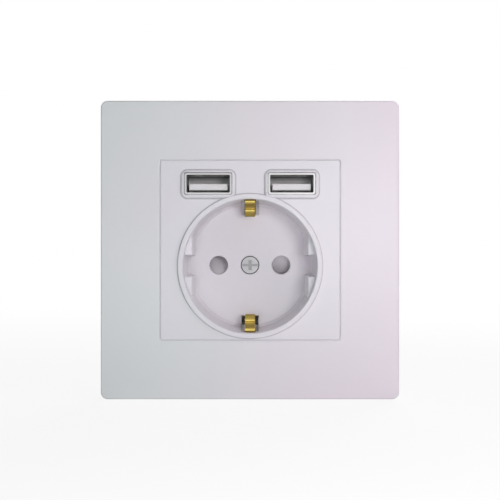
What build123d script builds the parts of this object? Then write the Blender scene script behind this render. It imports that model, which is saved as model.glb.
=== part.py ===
"""USB wall socket: an earthed two-pin socket with two charging ports, for a flush wall box.

X runs to the right and Z up, as seen from the room, and Y runs into the wall.
The wall face is Y = 0. A level is a height in front of the wall face, so it runs along -Y.
"""

import os
from math import hypot

from build123d import *

os.makedirs("parts", exist_ok=True)

# Cover frame
frame_size = 86.0
frame_depth = 9.0
frame_corner_radius = 2.0
frame_edge_radius = 0.5
frame_face = 2.0
frame_wall = 1.8
frame_inner_corner = 1.0
collar_wall = 1.4
window_corner_radius = 0.9
window_chamfer = 0.2
rib_thickness = 1.2
rib_level = 4.4
rib_offset = 18.0
seat_size = 4.0
seat_thickness = 1.5

# Centre plate
plate_margin = 0.45
plate_gap = 0.2
plate_corner_radius = 0.7
plate_chamfer = 0.25
plate_thickness = 2.0
plate_skirt = 1.3
plate_skirt_drop = 0.6

# Plug well
well_drop = 4.6
well_mouth_radius = 19.35
well_floor_radius = 18.9
well_wall = 1.45
well_depth = 17.5
well_floor_thickness = 2.0
well_floor_bevel = 0.8
rim_height = 1.0
rim_chamfer = 0.2

# Guide ledges at both sides of the well, with the key groove between them
ledge_gap = 33.1
ledge_drop = 4.0
ledge_draft = 1.3
ledge_chamfer = 0.25
ledge_root = 0.2
ledge_bite = 0.65
key_width = 5.6

# Pin holes
pin_spacing = 19.0
pin_hole_radius = 2.75
pin_hole_chamfer = 0.25
pin_length = 19.0
pin_end_gap = 0.4

# Earth clips and the openings for them in the well
clip_width = 2.9
clip_thickness = 0.7
clip_crest = 14.45
clip_channel_width = 5.2
clip_channel_level = 4.0
clip_notch_width = 3.5
clip_notch_level = 7.6
clip_opening_start = 15.3
clip_pocket_depth = 0.8
clip_channel_depth = 1.0
clip_channel_wall = 0.85
clip_channel_pad = 8.4
clip_bend = 1.3
clip_bend_radius = 0.55
clip_foot_lean = 0.2
clip_crest_low = 4.0
clip_crest_high = 7.3
clip_crest_lean = 0.2
clip_lobe_rise = 8.5
clip_lobe_out = 1.4
clip_valley_rise = 8.1
clip_valley_out = 2.6
clip_tab_drop = 3.0
clip_tab_out = 2.7
clip_tip_drop = 1.3
clip_tip_out = 3.8
clip_hook_drop = 2.2
clip_hook_gap = 0.5

# Centre screw
screw_head_radius = 2.75
screw_head_height = 1.2
screw_radius = 1.5
screw_length = 12.5
screw_boss_radius = 3.2
screw_clearance = 0.1
screw_slot_length = 4.6
screw_slot_width = 0.7
screw_cross_length = 3.0
screw_cross_width = 0.95
screw_slot_depth = 0.7
screw_head_chamfer = 0.2
screw_tip_chamfer = 0.4
thread_gap = 0.05

# Charging ports
port_spacing = 24.1
port_lift = 2.75
surround_width = 15.7
surround_height = 8.25
surround_radius = 1.9
surround_raise = 0.65
surround_chamfer = 0.5
shell_rise = 0.15
shell_opening_width = 12.5
shell_opening_height = 5.12
shell_sheet = 0.35
shell_lip = 0.22
shell_lip_length = 0.5
shell_length = 14.0
shell_gap = 0.12
shell_corner_radius = 0.6
shell_lip_radius = 0.7
shell_opening_radius = 0.35
finger_width = 2.0
finger_length = 4.0
finger_slit = 0.3
finger_setback = 3.0
finger_spacing = 6.0
shell_leg_width = 1.6
shell_leg_length = 2.6
tongue_width = 11.1
tongue_thickness = 1.84
tongue_drop = 0.87
tongue_setback = 1.6
insulator_length = 4.0
insulator_gap = 0.1
tongue_chamfer = 0.15
port_contact_width = 1.0
port_contact_thickness = 0.25
port_contact_offsets = (-3.5, -1.0, 1.0, 3.5)
port_contact_setback = 1.2
port_contact_tail = 2.4
port_contact_groove = 0.05
port_contact_sink = 0.2

# Support plate and its screws
support_size = 71.0
support_corner_radius = 5.0
support_thickness = 1.2
support_clearance = 0.3
box_screw_spacing = 60.0
box_slot_width = 4.2
box_slot_length = 7.0
tab_width = 8.0
tab_height = 2.6
tab_offset = 11.0
plate_screw_gap = 0.3
plate_screw_radius = 1.25
plate_screw_head_radius = 2.2
plate_screw_head_height = 1.5
plate_screw_length = 7.5
plate_screw_recess = 2.6
plate_screw_recess_width = 0.6
plate_screw_recess_depth = 0.8
plate_screw_spare = 1.0

# Rear housing
housing_inset = 0.05
housing_height = 55.4
housing_wall = 1.4
housing_back = 2.0
housing_corner_radius = 9.0
housing_chamfer = 1.2
housing_boss_radius = 2.1
housing_boss_inset = 1.0
housing_boss_depth = 9.0

# Contact block
block_gap = 0.3
block_deck_depth = 5.2
rotor_recess_radius = 15.0

# Earth strap base
strap_width = 6.0
strap_thickness = 1.0
strap_sink = 0.2
strap_half_length = 17.0
strap_wide_half_length = 8.5
strap_lap = 1.0

# Pin contacts
contact_sheet = 0.7
jaw_width = 5.0
jaw_gap = 4.2
jaw_mouth = 6.2
jaw_root = 5.4
jaw_setback = 1.2
jaw_flare = 2.4
jaw_bend = 0.5
bar_width = 4.0
bar_x = 16.0
bar_tab_width = 3.0
bar_tab_rise = 1.4

# Terminals
terminal_size = 6.4
terminal_height = 6.0
terminal_sheet = 0.8
terminal_corner_radius = 0.6
terminal_wire_space = 2.8
terminal_z = -14.5
earth_terminal_z = -17.5
terminal_screw_radius = 1.6
terminal_head_radius = 2.5
terminal_head_height = 1.5
terminal_head_gap = 0.3
terminal_slot = 0.8
terminal_screw_reach = 1.3
wire_window_width = 3.8
driver_hole_radius = 2.9

# Shutter rotor and its spring
rotor_gap = 0.3
rotor_bore_gap = 0.08
rotor_hub_radius = 6.0
rotor_arm_reach = 13.2
rotor_arm_width = 6.1
rotor_arm_edge = 0.7
rotor_spring_pocket_radius = 5.1
rotor_spring_pocket_depth = 2.3
stop_peg_radius = 1.0
stop_peg_reach = 11.2
spring_radius = 4.2
spring_wire = 0.4
spring_turns = 3.25
spring_pitch = 0.5
spring_leg = 1.0
spring_leg_hole = 0.35

# Circuit boards and the parts on them
board_thickness = 1.6
board_slot_gap = 0.15
board_pin_gap = 0.1
board_end_gap = 1.4
board_top_gap = 1.5
usb_board_width = 40.0
usb_board_above = 4.1
usb_board_below = 8.1
power_board_width = 40.0
power_board_length = 22.5
transformer_width = 13.0
transformer_length = 11.0
transformer_x = 0.5
transformer_setback = 10.4
core_leg = 2.6
core_width = 5.5
core_lift = 0.8
winding_corner_radius = 1.5
winding_gap = 0.1
capacitor_radius = 3.15
capacitor_length = 11.0
output_capacitor_length = 8.0
capacitor_x = 11.4
capacitor_chamfer = 0.4
chip_width = 4.9
chip_length = 3.9
chip_height = 1.5
chip_setback = 1.0
fuse_radius = 1.4
fuse_length = 6.0
fuse_chamfer = 0.5
fuse_setback = 2.0
header_width = 10.2
header_length = 2.5
header_height = 3.4
header_pins = 4
header_pitch = 2.54
header_pin_width = 0.64
header_pin_end = 1.0
header_edge = 0.6

# Levels that follow from the values above
front = frame_depth
rim_top = front + rim_height
floor_front = rim_top - well_depth
floor_back = floor_front - well_floor_thickness
ledge_top = rim_top - ledge_drop
plate_back = front - plate_thickness
skirt_back = plate_back - plate_skirt_drop
block_front = floor_back - block_gap
deck = block_front - block_deck_depth
strap_front = deck - strap_sink
strap_back = strap_front - strap_thickness
power_board_front = -block_front + block_gap
housing_floor = -(power_board_front + power_board_length + board_end_gap)
bar_front = floor_front - pin_length - pin_end_gap
bar_back = bar_front - contact_sheet
shell_front = front
shell_back = shell_front - shell_length
usb_board_back = shell_back - board_thickness

# Well, plate and frame window: the plate is as large as the well needs
well_outer_radius = well_mouth_radius + well_wall
channel_back = well_mouth_radius + clip_channel_depth
channel_pad_reach = channel_back + clip_channel_wall
plate_size = 2 * (well_drop + well_outer_radius + plate_margin)
window_size = plate_size + 2 * plate_gap
frame_inner = frame_size - 2 * frame_wall
collar_size = window_size + 2 * collar_wall
support_opening_radius = hypot(channel_pad_reach, clip_channel_pad / 2) + support_clearance
pin_x = pin_spacing / 2
pin_points = [(-pin_x, -well_drop), (pin_x, -well_drop)]

# Ports above the well, and the two boards with their connector
port_x = port_spacing / 2
port_rise = well_outer_radius - well_drop + port_lift
shell_z = port_rise + shell_rise
shell_width = shell_opening_width + 2 * shell_sheet
shell_height = shell_opening_height + 2 * shell_sheet
lip_width = shell_width + 2 * shell_lip
lip_height = shell_height + 2 * shell_lip
tongue_z = shell_z - tongue_drop
port_contact_z = tongue_z + (tongue_thickness + port_contact_thickness) / 2 - port_contact_sink
usb_board_top = shell_z + usb_board_above
usb_board_bottom = shell_z - usb_board_below
header_pin_z = support_opening_radius - well_drop + header_edge
header_pin_points = [((i - (header_pins - 1) / 2) * header_pitch, header_pin_z) for i in range(header_pins)]
power_board_level = header_pin_z - header_height / 2
board_seat_rise = power_board_level - board_thickness

# Housing, its screws and the contact block inside it
housing_width = plate_size - 2 * housing_inset
housing_depth = housing_back - housing_floor
housing_inner_x = housing_width / 2 - housing_wall
housing_inner_z = housing_height / 2 - housing_wall
plate_screw_x = housing_inner_x - housing_boss_inset
plate_screw_top = usb_board_bottom - housing_boss_radius - plate_screw_gap
plate_screw_bottom = -2 * well_drop - plate_screw_top
plate_screw_points = [
    (-plate_screw_x, plate_screw_bottom),
    (plate_screw_x, plate_screw_bottom),
    (-plate_screw_x, plate_screw_top),
    (plate_screw_x, plate_screw_top),
]
block_width = 2 * (housing_inner_x - block_gap)
block_bottom = -(housing_inner_z - block_gap)
transformer_height = housing_inner_z - board_top_gap - power_board_level
transformer_depth = power_board_front + transformer_setback

# Terminals: place across and up, level of the front and depth of the cage
terminal_depth = terminal_wire_space + contact_sheet + 2 * terminal_sheet
bar_terminal_front = bar_front + terminal_sheet
earth_terminal_front = strap_front + terminal_sheet
earth_terminal_depth = terminal_depth + strap_thickness - contact_sheet
terminal_points = {
    "line_terminal": (-bar_x, terminal_z, bar_terminal_front, terminal_depth),
    "neutral_terminal": (bar_x, terminal_z, bar_terminal_front, terminal_depth),
    "earth_terminal": (0, earth_terminal_z, earth_terminal_front, earth_terminal_depth),
}
well_axis = Axis((0, 0, -well_drop), (0, 1, 0))
well_section = Plane(origin=(0, 0, -well_drop), x_dir=(1, 0, 0), z_dir=(0, 0, 1))

# Path of the shutter spring, from its leg in the rotor to its leg in the contact block
with BuildLine():
    coil_front = deck + spring_wire + spring_turns * spring_pitch
    coil_centre = (0, -coil_front, -well_drop)
    coil_height = spring_turns * spring_pitch
    coil = Helix(spring_pitch, coil_height, spring_radius, center=coil_centre, direction=(0, 1, 0))
moving_end = coil @ 0
fixed_end = coil @ 1

pieces = {}


def level(height):
    """Sketch plane parallel to the wall, at a height in front of it."""
    return Plane.XZ.offset(height)


# Cover frame: a shallow square tray with a window, a collar round the window and four corner seats
with BuildPart() as cover_frame:
    with BuildSketch(level(0)):
        RectangleRounded(frame_size, frame_size, frame_corner_radius)
    extrude(amount=frame_depth)
    with BuildSketch(level(0)):
        RectangleRounded(frame_inner, frame_inner, frame_inner_corner)
    extrude(amount=frame_depth - frame_face, mode=Mode.SUBTRACT)
    with BuildSketch(level(support_thickness)):
        RectangleRounded(collar_size, collar_size, window_corner_radius + collar_wall)
    extrude(amount=frame_depth - frame_face - support_thickness)
    with BuildSketch(level(rib_level)):
        with GridLocations(2 * rib_offset, 0, 2, 1):
            Rectangle(rib_thickness, frame_inner)
        with GridLocations(0, 2 * rib_offset, 1, 2):
            Rectangle(frame_inner, rib_thickness)
    extrude(amount=frame_depth - frame_face - rib_level)
    with BuildSketch(level(0)):
        RectangleRounded(window_size, window_size, window_corner_radius)
    extrude(amount=frame_depth, mode=Mode.SUBTRACT)
    face = cover_frame.faces().sort_by(Axis.Y)[0]
    fillet(face.outer_wire().edges(), frame_edge_radius)
    face = cover_frame.faces().sort_by(Axis.Y)[0]
    chamfer(face.inner_wires()[0].edges(), window_chamfer)
    with BuildSketch(level(skirt_back - seat_thickness)):
        with GridLocations(window_size - seat_size, window_size - seat_size, 2, 2):
            Rectangle(seat_size + collar_wall, seat_size + collar_wall)
    extrude(amount=seat_thickness)
pieces["cover_frame"] = cover_frame

# Centre plate: the square insert, its port surrounds and the plug well in one moulding
with BuildPart() as centre_plate:
    with BuildSketch(level(plate_back)):
        RectangleRounded(plate_size, plate_size, plate_corner_radius)
    extrude(amount=plate_thickness)
    chamfer(centre_plate.faces().sort_by(Axis.Y)[0].edges(), plate_chamfer)
    with BuildSketch(level(skirt_back)):
        RectangleRounded(plate_size, plate_size, plate_corner_radius)
        Rectangle(plate_size - 2 * plate_skirt, plate_size - 2 * plate_skirt, mode=Mode.SUBTRACT)
    extrude(amount=plate_skirt_drop)
    with BuildSketch(level(front)):
        with Locations((-port_x, port_rise), (port_x, port_rise)):
            RectangleRounded(surround_width, surround_height, surround_radius)
    extrude(amount=surround_raise)
    tops = centre_plate.faces().sort_by(Axis.Y)[0:2]
    chamfer(tops.edges(), surround_chamfer)

    # Outer body of the well, with the bevelled outer edge of its rim
    with BuildSketch(well_section):
        with BuildLine():
            Polyline(
                (0, -rim_top),
                (0, -floor_back),
                (well_outer_radius, -floor_back),
                (well_outer_radius, -(rim_top - rim_chamfer)),
                (well_outer_radius - rim_chamfer, -rim_top),
                close=True,
            )
        make_face()
    revolve(axis=well_axis)
    with BuildSketch(level(floor_back)):
        with Locations((0, -well_drop)):
            Rectangle(clip_channel_pad, 2 * channel_pad_reach)
    extrude(amount=plate_back - floor_back)

    # Space of the well: drafted wall, bevelled mouth and bevelled foot
    with BuildSketch(well_section):
        with BuildLine():
            Polyline(
                (0, -floor_front),
                (0, -rim_top),
                (well_mouth_radius + rim_chamfer, -rim_top),
                (well_mouth_radius, -(rim_top - rim_chamfer)),
                (well_floor_radius, -(floor_front + well_floor_bevel)),
                (well_floor_radius - well_floor_bevel, -floor_front),
                close=True,
            )
        make_face()
    revolve(axis=well_axis, mode=Mode.SUBTRACT)

    # Guide ledges, rooted in the well wall
    with BuildSketch(level(floor_front - ledge_root)):
        with Locations((0, -well_drop)):
            Circle(well_mouth_radius + ledge_bite)
            Rectangle(ledge_gap, 3 * well_mouth_radius, mode=Mode.SUBTRACT)
            Rectangle(3 * well_mouth_radius, key_width, mode=Mode.SUBTRACT)
    extrude(amount=ledge_top - floor_front + ledge_root, taper=ledge_draft)
    tops = centre_plate.faces().filter_by_position(Axis.Y, -ledge_top - ledge_root, -ledge_top + ledge_root)
    chamfer(tops.edges().filter_by(GeomType.LINE), ledge_chamfer)

    # Channels for the earth clips, up the wall. The lower one goes through the floor at its full width,
    # and the upper one, towards the charger, only as wide as the clip.
    for side, channel_floor in ((-1, floor_back), (1, floor_front - clip_pocket_depth)):
        channel_place = (0, -well_drop + side * (channel_back + clip_opening_start) / 2)
        channel_reach = channel_back - clip_opening_start
        with BuildSketch(level(channel_floor)):
            with Locations(channel_place):
                Rectangle(clip_channel_width, channel_reach)
        extrude(amount=clip_channel_level - channel_floor, mode=Mode.SUBTRACT)
        with BuildSketch(level(floor_back)):
            with Locations(channel_place):
                Rectangle(clip_notch_width, channel_reach)
        extrude(amount=clip_notch_level - floor_back, mode=Mode.SUBTRACT)

    # Screw boss and the two pegs that stop the shutter, behind the floor
    with BuildSketch(level(floor_back)):
        with Locations((0, -well_drop)):
            Circle(screw_boss_radius)
    extrude(amount=-(floor_back - strap_front))
    with BuildSketch(level(floor_back)):
        stop_z = rotor_arm_width / 2 + rotor_bore_gap + stop_peg_radius
        with Locations((stop_peg_reach, -well_drop - stop_z), (-stop_peg_reach, -well_drop + stop_z)):
            Circle(stop_peg_radius)
    extrude(amount=-(block_deck_depth - rotor_gap))

    # Pin holes, screw hole and port windows
    with BuildSketch(level(floor_back)):
        with Locations(*pin_points):
            Circle(pin_hole_radius)
    extrude(amount=well_floor_thickness, mode=Mode.SUBTRACT)
    with BuildSketch(level(floor_front - pin_hole_chamfer)):
        with Locations(*pin_points):
            Circle(pin_hole_radius)
    extrude(amount=pin_hole_chamfer, taper=-45, mode=Mode.SUBTRACT)
    with BuildSketch(level(strap_front)):
        with Locations((0, -well_drop)):
            Circle(screw_radius + screw_clearance)
    extrude(amount=floor_front - strap_front, mode=Mode.SUBTRACT)
    with BuildSketch(level(floor_front - screw_head_height)):
        with Locations((0, -well_drop)):
            Circle(screw_head_radius + screw_clearance)
    extrude(amount=screw_head_height, mode=Mode.SUBTRACT)
    with BuildSketch(level(plate_back)):
        with Locations((-port_x, shell_z), (port_x, shell_z)):
            RectangleRounded(lip_width + 2 * shell_gap, lip_height + 2 * shell_gap, shell_lip_radius)
    extrude(amount=plate_thickness + surround_raise, mode=Mode.SUBTRACT)
pieces["centre_plate"] = centre_plate

# Centre screw, with a slot and a cross recess
with BuildPart() as centre_screw:
    with BuildSketch(level(floor_front - screw_head_height)):
        with Locations((0, -well_drop)):
            Circle(screw_head_radius)
    extrude(amount=screw_head_height - screw_clearance)
    chamfer(centre_screw.faces().sort_by(Axis.Y)[0].edges(), screw_head_chamfer)
    with BuildSketch(level(floor_front - screw_head_height)):
        with Locations((0, -well_drop)):
            Circle(screw_radius)
    extrude(amount=-screw_length)
    chamfer(centre_screw.faces().sort_by(Axis.Y)[-1].edges(), screw_tip_chamfer)
    with BuildSketch(level(floor_front - screw_clearance)):
        with Locations((0, -well_drop)):
            Rectangle(screw_slot_length, screw_slot_width)
            Rectangle(screw_cross_width, screw_cross_length)
    extrude(amount=-screw_slot_depth, mode=Mode.SUBTRACT)
pieces["centre_screw"] = centre_screw

# Support plate: flat steel with box screw slots and four tabs that centre the frame
with BuildPart() as support_plate:
    with BuildSketch(level(0)):
        RectangleRounded(support_size, support_size, support_corner_radius)
        with Locations((0, -well_drop)):
            Circle(support_opening_radius, mode=Mode.SUBTRACT)
        with Locations((0, (usb_board_top + usb_board_bottom) / 2)):
            Rectangle(
                usb_board_width + 2 * support_clearance,
                usb_board_top - usb_board_bottom + 2 * support_clearance,
                mode=Mode.SUBTRACT,
            )
        with GridLocations(box_screw_spacing, 0, 2, 1):
            SlotOverall(box_slot_length, box_slot_width, mode=Mode.SUBTRACT)
        with Locations(*plate_screw_points):
            Circle(plate_screw_radius + screw_clearance, mode=Mode.SUBTRACT)
    extrude(amount=support_thickness)
    with BuildSketch(level(support_thickness)):
        tab_z = collar_size / 2 + support_clearance + support_thickness / 2
        with GridLocations(2 * tab_offset, 2 * tab_z, 2, 2):
            Rectangle(tab_width, support_thickness)
    extrude(amount=tab_height)
pieces["support_plate"] = support_plate

# Screws through the support plate into the rear housing
with BuildPart() as plate_screws:
    with BuildSketch(level(support_thickness)):
        with Locations(*plate_screw_points):
            Circle(plate_screw_head_radius)
    extrude(amount=plate_screw_head_height)
    with BuildSketch(level(support_thickness + plate_screw_head_height)):
        with Locations(*plate_screw_points):
            Rectangle(plate_screw_recess, plate_screw_recess_width)
            Rectangle(plate_screw_recess_width, plate_screw_recess)
    extrude(amount=-plate_screw_recess_depth, mode=Mode.SUBTRACT)
    with BuildSketch(level(support_thickness)):
        with Locations(*plate_screw_points):
            Circle(plate_screw_radius)
    extrude(amount=-plate_screw_length)
pieces["plate_screws"] = plate_screws

# Rear housing: a cup with screw bosses, wire windows below and screwdriver holes behind
with BuildPart() as rear_housing:
    with BuildSketch(level(0)):
        RectangleRounded(housing_width, housing_height, housing_corner_radius)
    extrude(amount=-housing_depth)
    chamfer(rear_housing.faces().sort_by(Axis.Y)[-1].edges(), housing_chamfer)
    with BuildSketch(level(0)):
        inner_corner = housing_corner_radius - housing_wall
        RectangleRounded(2 * housing_inner_x, 2 * housing_inner_z, inner_corner)
    extrude(amount=housing_floor, mode=Mode.SUBTRACT)
    with BuildSketch(level(0)):
        with Locations(*plate_screw_points):
            Circle(housing_boss_radius)
        for x, z in plate_screw_points:
            side = 1 if x > 0 else -1
            boss_root = housing_inner_x + housing_wall / 2
            with Locations((side * (plate_screw_x + boss_root) / 2, z)):
                Rectangle(boss_root - plate_screw_x, 2 * housing_boss_radius)
    extrude(amount=-housing_boss_depth)
    with BuildSketch(level(0)):
        with Locations(*plate_screw_points):
            Circle(plate_screw_radius + thread_gap)
    extrude(amount=-(plate_screw_length - support_thickness + plate_screw_spare), mode=Mode.SUBTRACT)
    for x, z, cage_front, cage_depth in terminal_points.values():
        wire_level = cage_front - cage_depth + terminal_sheet
        with BuildSketch(level(wire_level)):
            with Locations((x, z - housing_height / 4)):
                Rectangle(wire_window_width, housing_height / 2)
        extrude(amount=terminal_wire_space, mode=Mode.SUBTRACT)
        with BuildSketch(level(housing_floor)):
            with Locations((x, z)):
                Circle(driver_hole_radius)
        extrude(amount=-housing_back, mode=Mode.SUBTRACT)
pieces["rear_housing"] = rear_housing

# Contact block: holds the shutter in front, the earth strap in a trench and the contacts behind
with BuildPart() as contact_block:
    with BuildSketch(level(block_front)):
        RectangleRounded(block_width, -2 * block_bottom, housing_corner_radius - housing_wall)
        with Locations((0, (board_seat_rise + block_bottom) / 2)):
            Rectangle(block_width, board_seat_rise - block_bottom, mode=Mode.INTERSECT)
    extrude(amount=housing_floor - block_front)
    with BuildSketch(level(block_front)):
        with Locations((0, -well_drop)):
            Circle(rotor_recess_radius)
    extrude(amount=deck - block_front, mode=Mode.SUBTRACT)
    with BuildSketch(level(block_front)):
        with Locations((0, -well_drop)):
            Rectangle(strap_width + 2 * block_gap, 2 * (strap_half_length + clip_bend))
    extrude(amount=strap_back - block_front, mode=Mode.SUBTRACT)
    with BuildSketch(level(housing_floor)):
        with Locations(*pin_points):
            Rectangle(jaw_mouth + 2 * contact_sheet + 2 * block_gap, jaw_width + 2 * block_gap)
    extrude(amount=deck - housing_floor, mode=Mode.SUBTRACT)
    with BuildSketch(level(housing_floor)):
        for side in (-1, 1):
            with Locations((side * (pin_x + bar_x) / 2, -well_drop)):
                Rectangle(bar_x - pin_x + bar_width, bar_width + 2 * block_gap)
            with Locations((side * bar_x, (board_seat_rise + terminal_z) / 2)):
                Rectangle(bar_width + 2 * block_gap, board_seat_rise - terminal_z)
    extrude(amount=bar_front - housing_floor, mode=Mode.SUBTRACT)
    for x, z, cage_front, cage_depth in terminal_points.values():
        with BuildSketch(level(housing_floor)):
            with Locations((x, z)):
                Rectangle(terminal_size + 2 * block_gap, terminal_height + 2 * block_gap)
        extrude(amount=cage_front + block_gap - housing_floor, mode=Mode.SUBTRACT)
        wire_level = cage_front - cage_depth + terminal_sheet
        with BuildSketch(level(wire_level)):
            with Locations((x, z - housing_height / 4)):
                Rectangle(wire_window_width, housing_height / 2)
        extrude(amount=terminal_wire_space, mode=Mode.SUBTRACT)
    with BuildSketch(level(strap_back)):
        with Locations((0, -well_drop)):
            Circle(screw_radius + block_gap)
    extrude(amount=-screw_length / 2, mode=Mode.SUBTRACT)
    with BuildSketch(level(deck)):
        with Locations((fixed_end.X, fixed_end.Z)):
            Circle(spring_leg_hole)
    extrude(amount=-spring_leg, mode=Mode.SUBTRACT)
pieces["contact_block"] = contact_block

# Earth strap: a flat base under the screw boss, with both ends bent forward as the earth clips.
# Each clip leans in to a round lobe, which meets the plug, and ends in a tab hooked in its notch.
with BuildPart() as earth_strap:
    with BuildSketch(level(strap_back)):
        with Locations((0, -well_drop)):
            Rectangle(strap_width, 2 * strap_wide_half_length)
    extrude(amount=strap_thickness)
    for side in (-1, 1):
        centre = (strap_front + strap_back) / 2
        crest = clip_crest + clip_thickness / 2
        path = [
            (-centre, strap_wide_half_length - strap_lap),
            (-centre, strap_half_length),
            (-floor_back, strap_half_length + clip_foot_lean),
            (-(floor_front + clip_crest_low), crest + clip_crest_lean),
            (-(floor_front + clip_crest_high), crest),
            (-(floor_front + clip_lobe_rise), crest + clip_lobe_out),
            (-(floor_front + clip_valley_rise), crest + clip_valley_out),
            (-(clip_notch_level - clip_tab_drop), crest + clip_tab_out),
            (-(clip_notch_level - clip_tip_drop), crest + clip_tip_out),
            (-(clip_notch_level - clip_hook_drop), channel_back - clip_hook_gap),
        ]
        points = [(y, -well_drop + side * r) for y, r in path]
        with BuildSketch(Plane.YZ):
            with BuildLine():
                FilletPolyline(*points, radius=clip_bend_radius)
            trace(line_width=clip_thickness)
        extrude(amount=clip_width / 2, both=True)
    with BuildSketch(level(strap_back)):
        with Locations((0, -well_drop)):
            Circle(screw_radius + thread_gap)
    extrude(amount=strap_thickness, mode=Mode.SUBTRACT)
pieces["earth_strap"] = earth_strap

# Pin contacts: sprung jaws for the pins, with a bar down to the terminal and up to the board
for name, side in (("line_contact", -1), ("neutral_contact", 1)):
    with BuildPart() as pin_contact:
        x = side * pin_x
        bend = (bar_front + bar_back) / 2
        mouth = deck - jaw_setback
        neck = mouth - jaw_flare
        with BuildSketch(Plane.XY.offset(-well_drop)):
            with BuildLine():
                FilletPolyline(
                    (x - jaw_mouth / 2, -mouth),
                    (x - (jaw_gap + contact_sheet) / 2, -neck),
                    (x - jaw_root / 2, -bend),
                    (x + jaw_root / 2, -bend),
                    (x + (jaw_gap + contact_sheet) / 2, -neck),
                    (x + jaw_mouth / 2, -mouth),
                    radius=jaw_bend,
                )
            trace(line_width=contact_sheet)
        extrude(amount=jaw_width / 2, both=True)
        with BuildSketch(level(bar_back)):
            with Locations((side * (pin_x + bar_x) / 2, -well_drop)):
                Rectangle(bar_x - pin_x + bar_width, bar_width)
            bar_low = terminal_z - terminal_height / 2
            with Locations((side * bar_x, (bar_low + board_seat_rise - block_gap) / 2)):
                Rectangle(bar_width, board_seat_rise - block_gap - bar_low)
            with Locations((side * bar_x, power_board_level)):
                Rectangle(bar_tab_width, 2 * bar_tab_rise)
            with Locations((side * bar_x, power_board_level - board_thickness)):
                Rectangle(bar_tab_width, 2 * board_thickness)
        extrude(amount=contact_sheet)
    pieces[name] = pin_contact

# Wire terminals: brass cages, open above and below, with a screw from behind
for name, (x, z, cage_front, cage_depth) in terminal_points.items():
    with BuildPart() as terminal:
        with BuildSketch(Plane.XY.offset(z - terminal_height / 2)):
            with Locations((x, -cage_front + cage_depth / 2)):
                RectangleRounded(terminal_size, cage_depth, terminal_corner_radius)
                inner_width = terminal_size - 2 * terminal_sheet
                Rectangle(inner_width, cage_depth - 2 * terminal_sheet, mode=Mode.SUBTRACT)
        extrude(amount=terminal_height)
        with BuildSketch(level(cage_front - cage_depth)):
            with Locations((x, z)):
                Circle(terminal_screw_radius + thread_gap)
        extrude(amount=terminal_sheet, mode=Mode.SUBTRACT)
    pieces[name] = terminal

# Screws of the three terminals
with BuildPart() as terminal_screws:
    for x, z, cage_front, cage_depth in terminal_points.values():
        head_front = cage_front - cage_depth - terminal_head_gap
        with BuildSketch(level(head_front)):
            with Locations((x, z)):
                Circle(terminal_head_radius)
        extrude(amount=-terminal_head_height)
        with BuildSketch(level(head_front - terminal_head_height)):
            with Locations((x, z)):
                Rectangle(2 * terminal_head_radius, terminal_slot)
        extrude(amount=terminal_slot, mode=Mode.SUBTRACT)
        with BuildSketch(level(head_front)):
            with Locations((x, z)):
                Circle(terminal_screw_radius)
        extrude(amount=terminal_sheet + terminal_screw_reach)
pieces["terminal_screws"] = terminal_screws

# Shutter rotor: a hub with two sloping arms, one over each pin hole
with BuildPart() as shutter_rotor:
    rotor_front = block_front
    rotor_back = deck + rotor_gap
    with BuildSketch(level(rotor_back)):
        with Locations((0, -well_drop)):
            Circle(rotor_hub_radius)
            Rectangle(2 * rotor_arm_reach, rotor_arm_width)
    extrude(amount=rotor_front - rotor_back)
    for side in (-1, 1):
        half = rotor_arm_width / 2
        with BuildSketch(Plane.YZ.offset(side * rotor_hub_radius)):
            with BuildLine():
                Polyline(
                    (-rotor_front, -well_drop + side * half),
                    (-rotor_front, -well_drop - side * half),
                    (-(rotor_back + rotor_arm_edge), -well_drop - side * half),
                    close=True,
                )
            make_face()
        extrude(amount=side * rotor_arm_reach, mode=Mode.SUBTRACT)
    with BuildSketch(level(rotor_back)):
        with Locations((0, -well_drop)):
            Circle(screw_boss_radius + rotor_bore_gap)
    extrude(amount=rotor_front - rotor_back, mode=Mode.SUBTRACT)
    with BuildSketch(level(rotor_back)):
        with Locations((0, -well_drop)):
            Circle(rotor_spring_pocket_radius)
    extrude(amount=rotor_spring_pocket_depth, mode=Mode.SUBTRACT)
    with BuildSketch(level(rotor_back + rotor_spring_pocket_depth)):
        with Locations((moving_end.X, moving_end.Z)):
            Circle(spring_leg_hole)
    extrude(amount=spring_leg, mode=Mode.SUBTRACT)
pieces["shutter_rotor"] = shutter_rotor

# Torsion spring round the boss, one leg in the contact block and one in the rotor
with BuildPart() as shutter_spring:
    with BuildSketch(Plane(origin=coil @ 0, z_dir=coil % 0)):
        RegularPolygon(spring_wire / 2, 6)
    sweep(path=coil, is_frenet=True)
    for end, side in ((fixed_end, -1), (moving_end, 1)):
        with BuildSketch(level(-end.Y - side * spring_wire / 2)):
            with Locations((end.X, end.Z)):
                RegularPolygon(spring_wire / 2, 6)
        extrude(amount=side * (spring_leg + spring_wire / 2))
pieces["shutter_spring"] = shutter_spring

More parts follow.
